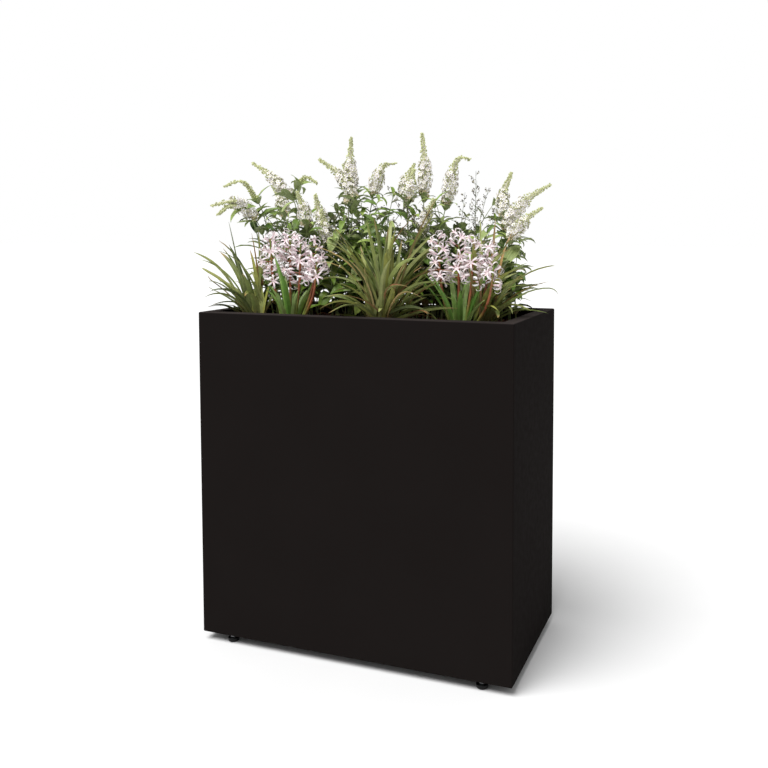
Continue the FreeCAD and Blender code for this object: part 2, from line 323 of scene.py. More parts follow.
def moulded_plastic():
    """Glossy black moulded polyamide, with light scuffs."""
    plastic = Shader("moulded_plastic", coat=0.1, specular=0.12)
    scuff = plastic.noise(220.0, detail=5.0, roughness=0.7)
    plastic.color(plastic.blend(scuff, (0.0015, 0.0015, 0.0018), (0.005, 0.005, 0.0055)))
    plastic.rough(plastic.span(scuff, 0.35, 0.75, 0.16, 0.32))
    plastic.bump(plastic.noise(900.0), 0.02 * MM, 0.4)
    return plastic.material


def foliage(name, roughness, specular, veins=0.0, vein_count=16.0, rib=0.0,
            rib_color=(0.3, 0.35, 0.15), mottle=0.25, wash=None, wash_share=0.0, subsurface=0.0,
            coat=0.0):
    """Leaf, petal or stem tissue: the piece's own tint, with veins along it, a rib and mottling."""
    skin = Shader(name, specular=specular, subsurface=subsurface, coat=coat, coat_roughness=0.3)
    tint = skin.attribute("tint")
    across = skin.split(skin.attribute("grain", "Vector"))["X"]
    mottling = skin.noise(70.0, detail=4.0, roughness=0.65)
    shade = skin.span(mottling, 0.25, 0.75, 1.0 - mottle, 1.0 + mottle)
    base = skin.blend(1.0, tint, skin.gray(shade), "MULTIPLY")
    if wash is not None:
        base = skin.blend(wash_share, base, wash)
    stripe = skin.math("SINE", skin.math("MULTIPLY", across, vein_count))
    if veins:
        base = skin.blend(skin.span(stripe, 0.2, 1.0, 0.0, veins), base, np.array(rib_color) * 0.6)
    if rib:
        middle = skin.span(skin.math("ABSOLUTE", across), 0.03, 0.2, rib, 0.0)
        base = skin.blend(middle, base, rib_color)
    skin.color(base)
    skin.rough(skin.span(mottling, 0.3, 0.7, roughness - 0.08, roughness + 0.08))
    skin.bump(stripe, 0.12 * MM, 0.35)
    skin.bump(skin.noise(600.0), 0.1 * MM, 0.25)
    return skin.material


def crumb(name, dark, light, scale, depth):
    """A dry, crumbly solid: soil or fired clay."""
    solid = Shader(name, specular=0.25)
    grains = solid.noise(scale, detail=6.0, roughness=0.7)
    solid.color(solid.blend(solid.span(grains, 0.3, 0.72), dark, light))
    solid.rough(solid.span(grains, 0.3, 0.7, 0.75, 0.95))
    solid.bump(grains, depth, 0.8)
    return solid.material


def bark_material():
    """Red-brown conifer bark: each chip's own tint, fibrous ridges and small dark spots."""
    bark = Shader("bark_chip", specular=0.2)
    tint = bark.attribute("tint")
    fibre = bark.noise(90.0, detail=6.0, roughness=0.7, where=bark.stretch((1, 1, 4)))
    pores = bark.cells(420.0)
    furrow = bark.blend(1.0, tint, (0.35, 0.3, 0.3), "MULTIPLY")
    base = bark.blend(bark.span(fibre, 0.3, 0.7), furrow, tint)
    bark.color(bark.blend(bark.span(pores, 0.0, 0.25, 0.5, 0.0), base, (0.01, 0.006, 0.004)))
    bark.rough(bark.span(fibre, 0.3, 0.7, 0.7, 0.92))
    bark.bump(fibre, 0.8 * MM, 0.8)
    return bark.material


def fleece_material():
    """Non-woven filter fleece: pale matted fibres with a heat-bonded dimple pattern."""
    felt = Shader("filter_felt", specular=0.2, sheen=0.3)
    fibre = felt.noise(500.0, detail=5.0, roughness=0.8, where=felt.stretch((1.0, 0.35, 1.0)))
    dimple = felt.cells(330.0, feature="SMOOTH_F1")
    felt.color(felt.blend(fibre, (0.42, 0.41, 0.38), (0.7, 0.69, 0.66)))
    felt.rough(felt.span(fibre, 0.3, 0.7, 0.85, 0.98))
    felt.bump(fibre, 0.4 * MM, 0.7)
    felt.bump(dimple, 0.3 * MM, 0.5)
    return felt.material


# ---- mesh building


def unit(vectors):
    return vectors / np.linalg.norm(vectors, axis=-1, keepdims=True)


def loft(rings, tint, kind=0, under=None, grain=None):
    """Close a skin over rings of points (n, k, 3), k even.

    Returns points, quads, tints, grains and kinds. tint is one colour or one for each ring. The
    second half of each ring may have a finish of its own, under.
    """
    n, k = rings.shape[:2]
    index = np.arange(n * k).reshape(n, k)
    after = np.roll(index, -1, axis=1)
    sides = np.stack([index[:-1], index[1:], after[1:], after[:-1]], -1)
    fan = np.array([(0, i, i + 1, i + 2) for i in range(1, k - 2, 2)])
    quads = np.concatenate([sides.reshape(-1, 4), index[0][fan], index[-1][fan[:, ::-1]]])
    kinds = np.full(len(quads), kind)
    if under is not None:
        kinds[:sides.shape[0] * k] = np.tile(np.where(np.arange(k) < k // 2, kind, under), n - 1)
    tint = np.asarray(tint, float)
    tints = np.repeat(tint, k, axis=0) if tint.ndim == 2 else np.tile(tint, (n * k, 1))
    if grain is None:
        grain = np.zeros((n, k, 3))
    return rings.reshape(-1, 3), quads, tints, grain.reshape(-1, 3), kinds


def frames_along(path, side, twist=0.0):
    """Side and normal directions along a path, starting from one side direction."""
    tangent = unit(np.gradient(path, axis=0))
    side = unit(side - tangent * (tangent @ side)[:, None])
    normal = np.cross(tangent, side)
    angle = np.linspace(0, twist, len(path))[:, None]
    cos, sin = np.cos(angle), np.sin(angle)
    return side * cos + normal * sin, normal * cos - side * sin


def leaf(path, widths, side, tint, fold, thickness, across=2, twist=0.0, kind=0, under=None,
         wave=0.0):
    """A leaf, petal or blade along a path: thin at its edges and folded up along its midrib."""
    side, normal = frames_along(path, side, twist)
    over = np.linspace(-1, 1, across + 1)
    reach = np.concatenate([over, over[-2:0:-1]])
    face = np.concatenate([np.ones(across + 1), -np.ones(across - 1)])
    half = np.asarray(widths)[:, None] / 2
    rise = fold * np.abs(reach) ** 1.3 * half + face * (1 - reach ** 2) * thickness / 2
    if wave:
        ripple = np.sin(np.linspace(0, 5 * math.pi, len(path)))[:, None]
        rise = rise + wave * ripple * np.abs(reach) * np.sign(reach) * half
    rings = (path[:, None] + side[:, None] * (reach * half)[..., None]
             + normal[:, None] * rise[..., None])
    grain = np.zeros(rings.shape)
    grain[..., 0] = reach
    grain[..., 1] = np.linspace(0, 1, len(path))[:, None]
    return loft(rings, tint, kind, under, grain)


def tube(path, radii, tint, sides, kind):
    """A round stem along a path."""
    off_axis = (0.31, 0.87, 0.2)
    side, normal = frames_along(path, np.cross(unit(path[1] - path[0]), off_axis))
    angle = -TURN * np.arange(sides) / sides
    circle = np.cos(angle)[:, None] * side[:, None] + np.sin(angle)[:, None] * normal[:, None]
    return loft(path[:, None] + circle * np.reshape(radii, (-1, 1, 1)), tint, kind)


def lathe(heights, radii, tint, sides, kind=0):
    """A round closed piece on the Z axis."""
    heights = np.asarray(heights, float)
    path = np.stack([0 * heights, 0 * heights, heights], -1)
    return tube(path, np.asarray(radii, float), tint, sides, kind)


def merge(pieces):
    """Join several lofted pieces into one."""
    offsets = np.cumsum([0] + [len(piece[0]) for piece in pieces[:-1]])
    joined = [np.concatenate([piece[part] for piece in pieces]) for part in range(5)]
    joined[1] = np.concatenate([piece[1] + offset for piece, offset in zip(pieces, offsets)])
    return tuple(joined)


def scatter(piece, places, frames, sizes, shades):
    """Copies of one piece, each with its own place, frame (columns), size and shade of its tint."""
    points, quads, tints, grains, kinds = piece
    count = len(places)
    moved = np.einsum("cij,pj->cpi", frames, points) * np.reshape(sizes, (-1, 1, 1))
    moved = moved + places[:, None]
    shifted = quads[None] + (np.arange(count) * len(points))[:, None, None]
    shaded = tints[None] * np.reshape(shades, (count, 1, -1))
    return (moved.reshape(-1, 3), shifted.reshape(-1, 4), shaded.reshape(-1, 3),
            np.tile(grains, (count, 1)), np.tile(kinds, count))


def frames_on(axes, spin):
    """Frames whose local Z is each axis, turned about it by spin."""
    axes = unit(np.asarray(axes, float))
    side = np.cross(np.broadcast_to(UP, axes.shape), axes)
    upright = np.linalg.norm(side, axis=1) < 0.05
    side[upright] = (1.0, 0.0, 0.0)
    side = unit(side - axes * np.sum(side * axes, 1)[:, None])
    other = np.cross(axes, side)
    cos, sin = np.cos(spin)[:, None], np.sin(spin)[:, None]
    return np.stack([side * cos + other * sin, other * cos - side * sin, axes], -1)


def curve_through(points, count):
    """Evenly numbered points on a smooth curve through a few points."""
    points = np.asarray(points, float)
    knots = np.concatenate([[0], np.cumsum(np.linalg.norm(np.diff(points, axis=0), axis=1))])
    slopes = np.gradient(points, knots, axis=0)
    at = np.linspace(0, knots[-1], count)
    span = np.clip(np.searchsorted(knots, at, side="right") - 1, 0, len(points) - 2)
    width = (knots[span + 1] - knots[span])[:, None]
    t = ((at - knots[span])[:, None]) / width
    return ((1 + 2 * t) * (1 - t) ** 2 * points[span] + t * (1 - t) ** 2 * width * slopes[span]
            + t ** 2 * (3 - 2 * t) * points[span + 1] + t ** 2 * (t - 1) * width * slopes[span + 1])


def point_on(path, share):
    """Points and directions at shares of a path's length."""
    at = np.linspace(0, 1, len(path))
    places = np.stack([np.interp(share, at, path[:, axis]) for axis in range(3)], -1)
    slope = unit(np.gradient(path, axis=0))
    return places, unit(np.stack([np.interp(share, at, slope[:, axis]) for axis in range(3)], -1))


def arching_path(base, azimuth, length, lean, droop, count, sway=0.0):
    """A path that leaves base at lean from the vertical and bends over by droop more."""
    share = np.linspace(0, 1, count)
    angle = lean + droop * share ** 1.5
    turn = azimuth + sway * share
    steps = np.stack([np.sin(angle) * np.cos(turn), np.sin(angle) * np.sin(turn), np.cos(angle)],
                     -1)
    path = np.cumsum(steps, axis=0) * length / (count - 1)
    return np.asarray(base) + path - path[0]


def ease(value):
    value = np.clip(value, 0, 1)
    return value * value * (3 - 2 * value)


def keep_over_rim(points):
    """Draw foliage in to the planter's own space, and lift what crosses the rim clear of it."""
    past_sides, bend, strip = mm(25, 16), 40 * MM, 25 * MM
    room = np.maximum(np.abs(CAD_LOW), np.abs(CAD_HIGH))[:2] + past_sides
    for axis in (0, 1):
        start = room[axis] - bend
        away = np.abs(points[:, axis])
        inside = np.minimum(away, start) + bend * (1 - np.exp(-np.maximum(away - start, 0) / bend))
        points[:, axis] = np.sign(points[:, axis]) * inside
    edge = BOX_HALF - RIM_WIDTH
    near = np.max((np.abs(points[:, :2]) - (edge - strip)) / strip, axis=1)
    lowest, soft = RIM_LEVEL + 3 * MM, 22 * MM
    lifted = lowest + soft * np.exp(np.minimum(points[:, 2] - lowest - soft, 0) / soft)
    height = np.where(points[:, 2] < lowest + soft, lifted, points[:, 2])
    points[:, 2] += (height - points[:, 2]) * ease(near)
    return points


def build(name, pieces, materials, node, body="planter", sharp=50, keep=False):
    """One finished object that stands for a CAD node."""
    points, quads, tints, grains, kinds = merge(pieces)
    if keep:
        points = keep_over_rim(points)
    mesh = bpy.data.meshes.new(name)
    mesh.vertices.add(len(points))
    mesh.vertices.foreach_set("co", points.astype(np.float32).ravel())
    mesh.loops.add(quads.size)
    mesh.loops.foreach_set("vertex_index", quads.astype(np.int32).ravel())
    mesh.polygons.add(len(quads))
    mesh.polygons.foreach_set("loop_start", np.arange(0, quads.size, 4, dtype=np.int32))
    for material in materials:
        mesh.materials.append(material)
    mesh.polygons.foreach_set("material_index", kinds.astype(np.int32))
    mesh.update(calc_edges=True)
    mesh.validate()
    tint = mesh.color_attributes.new("tint", "FLOAT_COLOR", "POINT")
    rgba = np.concatenate([np.clip(tints, 0, 1), np.ones((len(tints), 1))], 1)
    tint.data.foreach_set("color", rgba.astype(np.float32).ravel())
    grain = mesh.attributes.new("grain", "FLOAT_VECTOR", "POINT")
    grain.data.foreach_set("vector", grains.astype(np.float32).ravel())
    mesh.polygons.foreach_set("use_smooth", np.ones(len(mesh.polygons), bool))
    mesh.set_sharp_from_angle(angle=math.radians(sharp))
    made = add_object(name, mesh)
    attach(made, body)
    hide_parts(node)
    return made


# ---- grass

GRASS_TOP, GRASS_BACK = 0, 1
GRASS_GREENS = [srgb(132, 144, 72), srgb(104, 120, 48), srgb(156, 162, 92), srgb(82, 98, 38),
                srgb(142, 144, 62)]
GRASS_DRY = [srgb(158, 118, 66), srgb(128, 72, 42), srgb(176, 146, 92)]
GRASS_SHEATH, GRASS_TIP = srgb(132, 70, 44), srgb(172, 134, 84)
DRY_SHARE, SHEATH_SHARE, BROWN_TIP_SHARE = 0.12, 0.45, 0.4
CLUMP_DEPTH = 0.62  # of its width, front to back

# Where each clump stands, the way its blades lean and how far round they spread (degrees), their
# number and reach.
GRASS_CLUMPS = {
    "grass_left": dict(foot=(-0.3, -0.105), toward=160, spread=105, blades=54, reach=(0.14, 0.29),
                       seed=11),
    "grass_centre": dict(foot=(0.055, -0.11), toward=90, spread=180, blades=104,
                         reach=(0.15, 0.34), seed=12),
    "grass_right": dict(foot=(0.283, -0.075), toward=8, spread=105, blades=50,
                        reach=(0.15, 0.31), seed=13),
}


def grass_clump(foot, toward, spread, blades, reach, seed):
    """Folded, arching blades from a tight crown: a few are dry, some have brown sheaths or tips."""
    rng = np.random.default_rng(seed)
    pieces = []
    for i in range(blades):
        outer = (i + 0.5) / blades
        azimuth = math.radians(toward + spread * rng.uniform(-1, 1))
        length = rng.uniform(*reach) * (1 - 0.25 * outer)
        lean = math.radians(5 + 36 * outer + rng.normal(0, 9))
        droop = slant(rng, 25, 125) * (0.45 + 0.5 * outer)
        start = rooted(foot[0] + rng.normal(0, 14 * MM), foot[1] + rng.normal(0, 9 * MM), 6 * MM)
        path = arching_path(start, azimuth, length, lean, droop, 14, rng.uniform(-0.8, 0.8))
        path[:, 1] = foot[1] + (path[:, 1] - foot[1]) * CLUMP_DEPTH
        dry = rng.random() < DRY_SHARE
        width = rng.uniform(9, 15) * MM * (0.5 if dry else 1.0)
        along = np.linspace(0, 1, len(path))
        widths = width * (0.5 + 0.5 * ease(along / 0.35)) * (1 - along ** 4.5) ** 0.9 + 0.5 * MM
        color = np.array((GRASS_DRY if dry else GRASS_GREENS)[rng.integers(3 if dry else 5)])
        color = color * rng.uniform(0.65, 1.25)
        sheath = GRASS_SHEATH if rng.random() < SHEATH_SHARE else color * 0.55
        tints = color + (sheath - color) * (1 - ease(along / 0.3))[:, None]
        if rng.random() < BROWN_TIP_SHARE:
            tints = tints + (GRASS_TIP - tints) * ease((along - 0.82) / 0.18)[:, None]
        pieces.append(leaf(path, widths, sideways(azimuth), tints, fold=rng.uniform(0.35, 0.7),
                           thickness=0.5 * MM, twist=rng.normal(0, 0.5), kind=GRASS_TOP,
                           under=GRASS_BACK))
    return pieces


# ---- hyacinths

STRAP, STRAP_BACK, PETAL, STALK = 0, 1, 2, 3
HYACINTH_PINK = srgb(250, 241, 241)
HYACINTH_DEEP = srgb(238, 214, 219)
HYACINTH_GREENS = [srgb(140, 178, 84), srgb(104, 150, 58), srgb(168, 196, 118)]

STALK_GREEN, STALK_BROWN, ANTHER = srgb(122, 138, 64), srgb(148, 82, 52), srgb(196, 168, 96)
STRAP_LEAVES = 16
FLORET_SPACING = 7.4 * MM

# Each stalk leans from the crown to the top of its flower head: x and y from the crown, height
# above the mulch, and length of the head.
HYACINTH_STALKS = [(-0.048, -0.012, 0.206, 0.096), (-0.006, 0.012, 0.214, 0.1),
                   (0.036, -0.01, 0.2, 0.086), (0.072, 0.004, 0.19, 0.074),
                   (0.09, -0.028, 0.148, 0.04)]
HYACINTHS = {
    "hyacinth_left": dict(foot=(-0.2, -0.1), seed=21),
    "hyacinth_right": dict(foot=(0.243, -0.1), seed=22),
}


def hyacinth_floret():
    """A waxy tube that opens into six narrow petals, rolled back past the mouth. Its axis is Z."""
    deep, pink = HYACINTH_DEEP, HYACINTH_PINK
    pieces = [lathe(mm(0, 2, 6, 10, 12.5), mm(1.0, 2.0, 2.6, 2.9, 3.3),
                    [deep * 0.9, deep, deep, pink * 0.9, pink], 6, PETAL)]
    widths = mm(2.6, 3.2, 3.6, 3.8, 3.6, 2.8, 0.9)
    shades = [deep, deep * 1.1, pink, pink * 1.04, pink * 1.08, pink * 1.08, pink]
    for i in range(6):
        angle, ahead = TURN * i / 6, (-1) ** i
        reach = mm(2.4, 5.0, 9.2, 13.2, 15.8, 15.8, 13.2) * (1.0 + 0.06 * ahead)
        rise = mm(11.2, 14.2, 16.6, 15.6, 11.6, 6.6, 3.4) + (0.4 * MM) * ahead
        path = heading(angle) * reach[:, None] + UP * rise[:, None]
        pieces.append(leaf(path, widths, sideways(angle), shades, fold=0.22, thickness=0.9 * MM,
                           kind=PETAL))
    anther = lathe(mm(9, 11, 12.5, 13.5), mm(0.3, 0.6, 0.6, 0.2), ANTHER, 4, PETAL)
    for i in range(3):
        place = heading(TURN * (i / 3 + 0.1)) * 1.4 * MM
        pieces.append(scatter(anther, place[None], np.eye(3)[None], 1.0, np.ones((1, 3))))
    return merge(pieces)


def strap_leaf(rng, foot, number):
    """One thick, channelled leaf that leans out from the crown."""
    azimuth = number * GOLDEN_ANGLE + rng.uniform(-0.3, 0.3)
    length = rng.uniform(0.1, 0.19)
    start = rooted(foot[0] + 16 * MM * math.cos(azimuth), foot[1] + 12 * MM * math.sin(azimuth),
                   8 * MM)
    path = arching_path(start, azimuth, length, slant(rng, 4, 26), slant(rng, 8, 42), 13)
    along = np.linspace(0, 1, len(path))
    blunt = (0.65 + 0.35 * ease(along / 0.4)) * (1 - along ** 3) ** 0.9
    widths = rng.uniform(10, 15) * MM * blunt + 0.8 * MM
    color = np.array(HYACINTH_GREENS[number % 3]) * rng.uniform(0.8, 1.1)
    tints = color * (0.95 + 0.2 * along)[:, None]
    return leaf(path, widths, sideways(azimuth), tints, fold=rng.uniform(0.4, 0.7),
                thickness=1.6 * MM, across=4, twist=rng.normal(0, 0.25), kind=STRAP,
                under=STRAP_BACK)


def hyacinth(foot, seed):
    """Strap leaves round five thick stalks, each with loosely set curled florets."""
    rng = np.random.default_rng(seed)
    floret = hyacinth_floret()
    pieces = [strap_leaf(rng, foot, number) for number in range(STRAP_LEAVES)]
    for x, y, top, head in HYACINTH_STALKS:
        crown = rooted(foot[0] + x * 0.35, foot[1] + y * 0.35, 8 * MM)
        tip = np.array((foot[0] + x, foot[1] + y, GROWING_LEVEL + top))
        middle = (crown + tip) / 2 + np.array((x * 0.18, y * 0.18, 0))
        path = curve_through([crown, middle, tip], 22)
        along = np.linspace(0, 1, 22)
        blush = ease((along - 0.15) / 0.3) * ease((0.95 - along) / 0.3)
        tints = STALK_GREEN + (STALK_BROWN - STALK_GREEN) * blush[:, None]
        pieces.append(tube(path, (4.2 - 2.4 * along) * MM, tints, 8, STALK))
        count = int(head / FLORET_SPACING)
        at = np.linspace(1 - head / top, 0.99, count) + rng.normal(0, 0.012, count)
        crowding = ease((at - 0.75) / 0.25)
        centres, _ = point_on(path, at)
        turn = np.arange(count) * GOLDEN_ANGLE + rng.uniform(0, TURN) + rng.normal(0, 0.3, count)
        up = 0.8 * crowding + rng.normal(0.15, 0.26, count)
        axes = unit(np.stack([np.cos(turn), np.sin(turn), up], -1))
        stand = rng.uniform(3, 14, (count, 1)) * MM * (1.2 - 0.7 * crowding)[:, None]
        sizes = (1.14 - 0.2 * ease((at - 0.8) / 0.2)) * rng.uniform(0.88, 1.1, count)
        shades = rng.uniform(0.9, 1.06, (count, 1)) * np.array((1.0, 0.98, 1.0))
        pieces.append(scatter(floret, centres + axes * stand, frames_on(axes, turn * 3.7), sizes,
                              shades))
        for centre, axis, length in zip(centres, axes, stand):
            pedicel = np.stack([centre, centre + axis * length * 0.5,
                                centre + axis * (length + 1 * MM)])
            pieces.append(tube(pedicel, mm(1.3, 1.0, 1.1), STALK_BROWN * 1.2, 6, STALK))
    return pieces


# ---- loosestrife

BLADE, BLADE_BACK, STEM, FLOWER, BUD = 0, 1, 2, 3, 4
LEAF_GREENS = [srgb(112, 142, 48), srgb(80, 112, 32), srgb(146, 166, 82), srgb(54, 82, 22),
               srgb(168, 182, 118)]
YOUNG_GREEN, OLD_STEM, STEM_GREEN = srgb(170, 188, 116), srgb(104, 122, 72), srgb(150, 162, 112)
FLORET_WHITE, FLORET_THROAT = srgb(254, 248, 249), srgb(226, 224, 190)
FLORET_EYE, PEDICEL_GREEN = srgb(190, 182, 116), srgb(208, 210, 176)
BUD_GREEN, SPIKE_CORE = srgb(206, 210, 162), srgb(226, 222, 202)
FADED = np.array((0.78, 0.7, 0.5))
LEAF_SIZES = ((64, 18), (56, 16), (72, 20), (48, 14), (60, 16.5))
BROAD_LEAF_SIZES = ((86, 38), (70, 32))
BROAD_SHARE, BROAD_HEIGHT = 0.55, 0.25

# How far florets and buds stand out, in millimetres, at shares of a spike's length. Flowers are
# open on the lowest OPEN_SHARE of a spike. A spike of buds alone is slimmer.
FLOWER_SPREAD = (0.0, 0.1, 0.28, 0.42, 0.54, 0.66, 0.8, 1.0), (10, 15.5, 20, 18, 15, 11.5, 9, 6.4)
BUD_SPREAD = (0.0, 0.3, 0.7, 1.0), (8.4, 8.0, 7.2, 6.0)
OPEN_SHARE = 0.56
FLORET_STEP, BUD_STEP = 0.95 * MM, 0.8 * MM

# Each plant has tall shoots: whether the spike flowers, the foot on the mulch (x, y), then points
# from the foot of the spike to its tip (x, y, z), in millimetres. Under them stand low leafy
# shoots: how many, round which foot, how tall (metres) and how far they lean (degrees).
FLOWERS, BUDS = True, False
LOOSESTRIFES = {
    "loosestrife_left": dict(seed=31, shoots=[
        (FLOWERS, (-315, 100), (-300, 90, 1112), (-334, 90, 1142), (-378, 90, 1182),
         (-421, 90, 1208)),
        (BUDS, (-335, 80), (-375, 30, 1108), (-402, 0, 1154), (-436, -28, 1140)),
        (FLOWERS, (-330, 60), (-365, 10, 1052), (-387, -55, 1098), (-410, -120, 1087)),
        (BUDS, (-340, 55), (-378, -30, 1084), (-388, -75, 1087), (-392, -120, 1064)),
        (FLOWERS, (-345, 120), (-360, 150, 1060), (-380, 170, 1110), (-415, 185, 1150)),
        (FLOWERS, (-280, 70), (-235, 50, 1035), (-243, 50, 1080), (-262, 50, 1125)),
    ], low=dict(count=20, foot=(-0.25, 0.115), height=(0.18, 0.32), lean=18)),
    "loosestrife_centre_left": dict(seed=32, shoots=[
        (FLOWERS, (-130, 90), (-107, 80, 1105), (-139, 80, 1156), (-171, 80, 1186),
         (-209, 80, 1211)),
        (FLOWERS, (-140, 100), (-124, 100, 1118), (-130, 100, 1200), (-127, 100, 1266)),
        (FLOWERS, (-110, 110), (-62, 100, 1122), (-50, 100, 1165), (-36, 100, 1191),
         (-2, 100, 1198)),
        (BUDS, (-160, 90), (-288, 100, 1147), (-264, 100, 1168), (-232, 100, 1152)),
        (FLOWERS, (-150, 60), (-175, 40, 1020), (-190, 40, 1070), (-200, 35, 1115)),
        (FLOWERS, (-140, 120), (-160, 150, 1090), (-165, 165, 1150), (-190, 180, 1205)),
        (FLOWERS, (-160, 50), (-150, 20, 985), (-163, 18, 1030), (-172, 15, 1075)),
    ], low=dict(count=38, foot=(-0.09, 0.105), height=(0.16, 0.34), lean=24)),
    "loosestrife_centre_right": dict(seed=33, shoots=[
        (FLOWERS, (60, 100), (79, 100, 1108), (81, 100, 1190), (74, 100, 1270)),
        (FLOWERS, (80, 90), (139, 100, 1086), (151, 100, 1140), (160, 100, 1184),
         (176, 100, 1207), (202, 100, 1203)),
        (FLOWERS, (50, 80), (52, 60, 1100), (58, 60, 1140), (67, 60, 1176)),
        (FLOWERS, (40, 60), (95, 40, 1020), (108, 40, 1060), (130, 35, 1100)),
        (FLOWERS, (30, 120), (10, 150, 1100), (0, 165, 1150), (20, 180, 1200)),
    ], low=dict(count=38, foot=(0.09, 0.105), height=(0.16, 0.34), lean=24)),
    "loosestrife_right": dict(seed=34, shoots=[
        (FLOWERS, (310, 100), (290, 100, 1024), (318, 100, 1067), (351, 100, 1101),
         (407, 100, 1134)),
        (FLOWERS, (330, 80), (318, 60, 1000), (339, 60, 1030), (361, 60, 1053),
         (397, 60, 1077)),
        (FLOWERS, (300, 120), (280, 150, 1050), (270, 165, 1110), (290, 175, 1170)),
    ], low=dict(count=11, foot=(0.25, 0.11), height=(0.12, 0.22), lean=14)),
}


def loosestrife_leaf(rng, length, width):
    """A pointed oval leaf that leaves the stem along local X and bends down; local Z is up."""
    path = arching_path((0, 0, 0), 0.0, length, slant(rng, 30, 62), slant(rng, 30, 110), 7,
                        rng.uniform(-0.5, 0.5))
    along = np.linspace(0, 1, 7)
    oval = np.sin(math.pi * np.clip(along * 0.93 + 0.07, 0, 1) ** 0.85) ** 0.85
    return leaf(path, width * oval + 0.7 * MM, sideways(0.0), np.ones(3),
                fold=rng.uniform(0.12, 0.5), thickness=0.6 * MM, across=4, kind=BLADE,
                under=BLADE_BACK, wave=0.06)


def loosestrife_floret():
    """Five rounded white petals round a brownish-yellow eye, on a short stalk. Its axis is Z."""
    pieces = [lathe(mm(-12, -1, 1.2), mm(0.35, 0.5, 1.3), PEDICEL_GREEN, 4, STEM)]
    reach, rise, widths = mm(0.8, 3.8, 6.2), mm(0.8, 2.3, 1.7), mm(1.8, 4.6, 2.2)
    shades = [FLORET_THROAT, FLORET_WHITE, FLORET_WHITE]
    for i in range(5):
        angle = TURN * i / 5
        path = heading(angle) * reach[:, None] + UP * rise[:, None]
        pieces.append(leaf(path, widths, sideways(angle), shades, fold=0.18, thickness=0.5 * MM,
                           kind=FLOWER))
    pieces.append(lathe(mm(1, 2, 2.9), mm(0.5, 0.9, 0.2), FLORET_EYE, 4, BUD))
    return merge(pieces)


def bud_piece():
    """A small round bud, slightly longer than wide, with its axis along Z."""
    return lathe(mm(0, 0.5, 1.6, 2.7, 3.3), mm(0.4, 1.2, 1.6, 1.15, 0.3), BUD_GREEN, 6, BUD)


def leaf_frames(tangents, azimuths):
    """Frames whose Z runs along the stem and whose X points out at an azimuth."""
    outward = np.stack([np.cos(azimuths), np.sin(azimuths), 0 * azimuths], -1)
    outward = unit(outward - tangents * np.sum(outward * tangents, 1)[:, None])
    return np.stack([outward, np.cross(tangents, outward), tangents], -1)


def clothe(rng, stem, leaves, shares, size, young):
    """Pairs of leaves up a stem, each pair turned a quarter from the last."""
    places, tangents = point_on(stem, shares)
    turn = rng.uniform(0, TURN)
    pieces = []
    for i, share in enumerate(shares):
        for half_turn in (0, math.pi):
            quarter = i * (math.pi / 2 + 0.25)
            azimuth = np.array((turn + quarter + half_turn + rng.normal(0, 0.25),))
            color = LEAF_GREENS[rng.integers(len(LEAF_GREENS))] * rng.uniform(0.8, 1.2)
            color = color + (YOUNG_GREEN - color) * (young * ease((share - 0.75) / 0.25))
            pieces.append(scatter(leaves[rng.integers(len(leaves))], places[i:i + 1],
                                  leaf_frames(tangents[i:i + 1], azimuth),
                                  size(share) * rng.uniform(0.8, 1.2), color[None]))
    return pieces


def spiral(rng, path, shares, wobble):
    """Places, directions, turns and outward directions of what spirals up a path."""
    places, tangents = point_on(path, shares)
    turn = np.arange(len(shares)) * GOLDEN_ANGLE + rng.normal(0, wobble, len(shares))
    return places, tangents, turn, leaf_frames(tangents, turn)[:, :, 0]


def flower_spike(rng, path, floret, bud, flowers):
    """Florets round the lower part of a spike, then round buds that crowd to its blunt tip."""
    length = np.sum(np.linalg.norm(np.diff(path, axis=0), axis=1))
    spread = FLOWER_SPREAD if flowers else BUD_SPREAD
    core = np.interp(np.linspace(0, 1, len(path)), *spread) - 3.6
    pieces = [tube(path, core * 0.55 * MM, SPIKE_CORE if flowers else BUD_GREEN * 0.85, 8, STEM)]
    open_share = OPEN_SHARE if flowers else 0.0
    if flowers:
        count = int(length * open_share / FLORET_STEP)
        shares = np.linspace(0.02, open_share, count) + rng.normal(0, 0.01, count)
        places, tangents, _, outward = spiral(rng, path, shares, 0.25)
        outward = outward + tangents * rng.normal(0.25, 0.3, (count, 1))
        distance = np.interp(shares, *spread) * MM * rng.uniform(0.66, 1.08, count)
        shades = rng.uniform(0.92, 1.05, (count, 1)) * np.ones(3)
        shades = np.where((shares < 0.08)[:, None], shades * FADED, shades)
        frames = frames_on(outward, rng.uniform(0, TURN, count))
        sizes = rng.uniform(0.8, 1.12, count) * (1.0 - 0.3 * ease((shares - 0.45) / 0.2))
        pieces.append(scatter(floret, places + unit(outward) * distance[:, None], frames, sizes,
                              shades))
    start = open_share * 0.45
    count = int(length * (1 - start) / BUD_STEP)
    shares = np.linspace(start, 1, count)
    places, tangents, turn, outward = spiral(rng, path, shares, 0.2)
    outward = outward + tangents * (0.3 + 0.9 * shares ** 3)[:, None]
    distance = (np.interp(shares, *spread) * rng.uniform(0.6, 1.0, count) - 3.0) * MM
    distance = np.maximum(distance, 0.4 * MM)[:, None]
    shades = rng.uniform(0.8, 1.16, (count, 1)) * np.array((1.0, 1.0, 0.97))
    sizes = (1.6 - 0.25 * shares) * rng.uniform(0.8, 1.15, count)
    pieces.append(scatter(bud, places + unit(outward) * distance, frames_on(outward, turn), sizes,
                          shades))
    return pieces


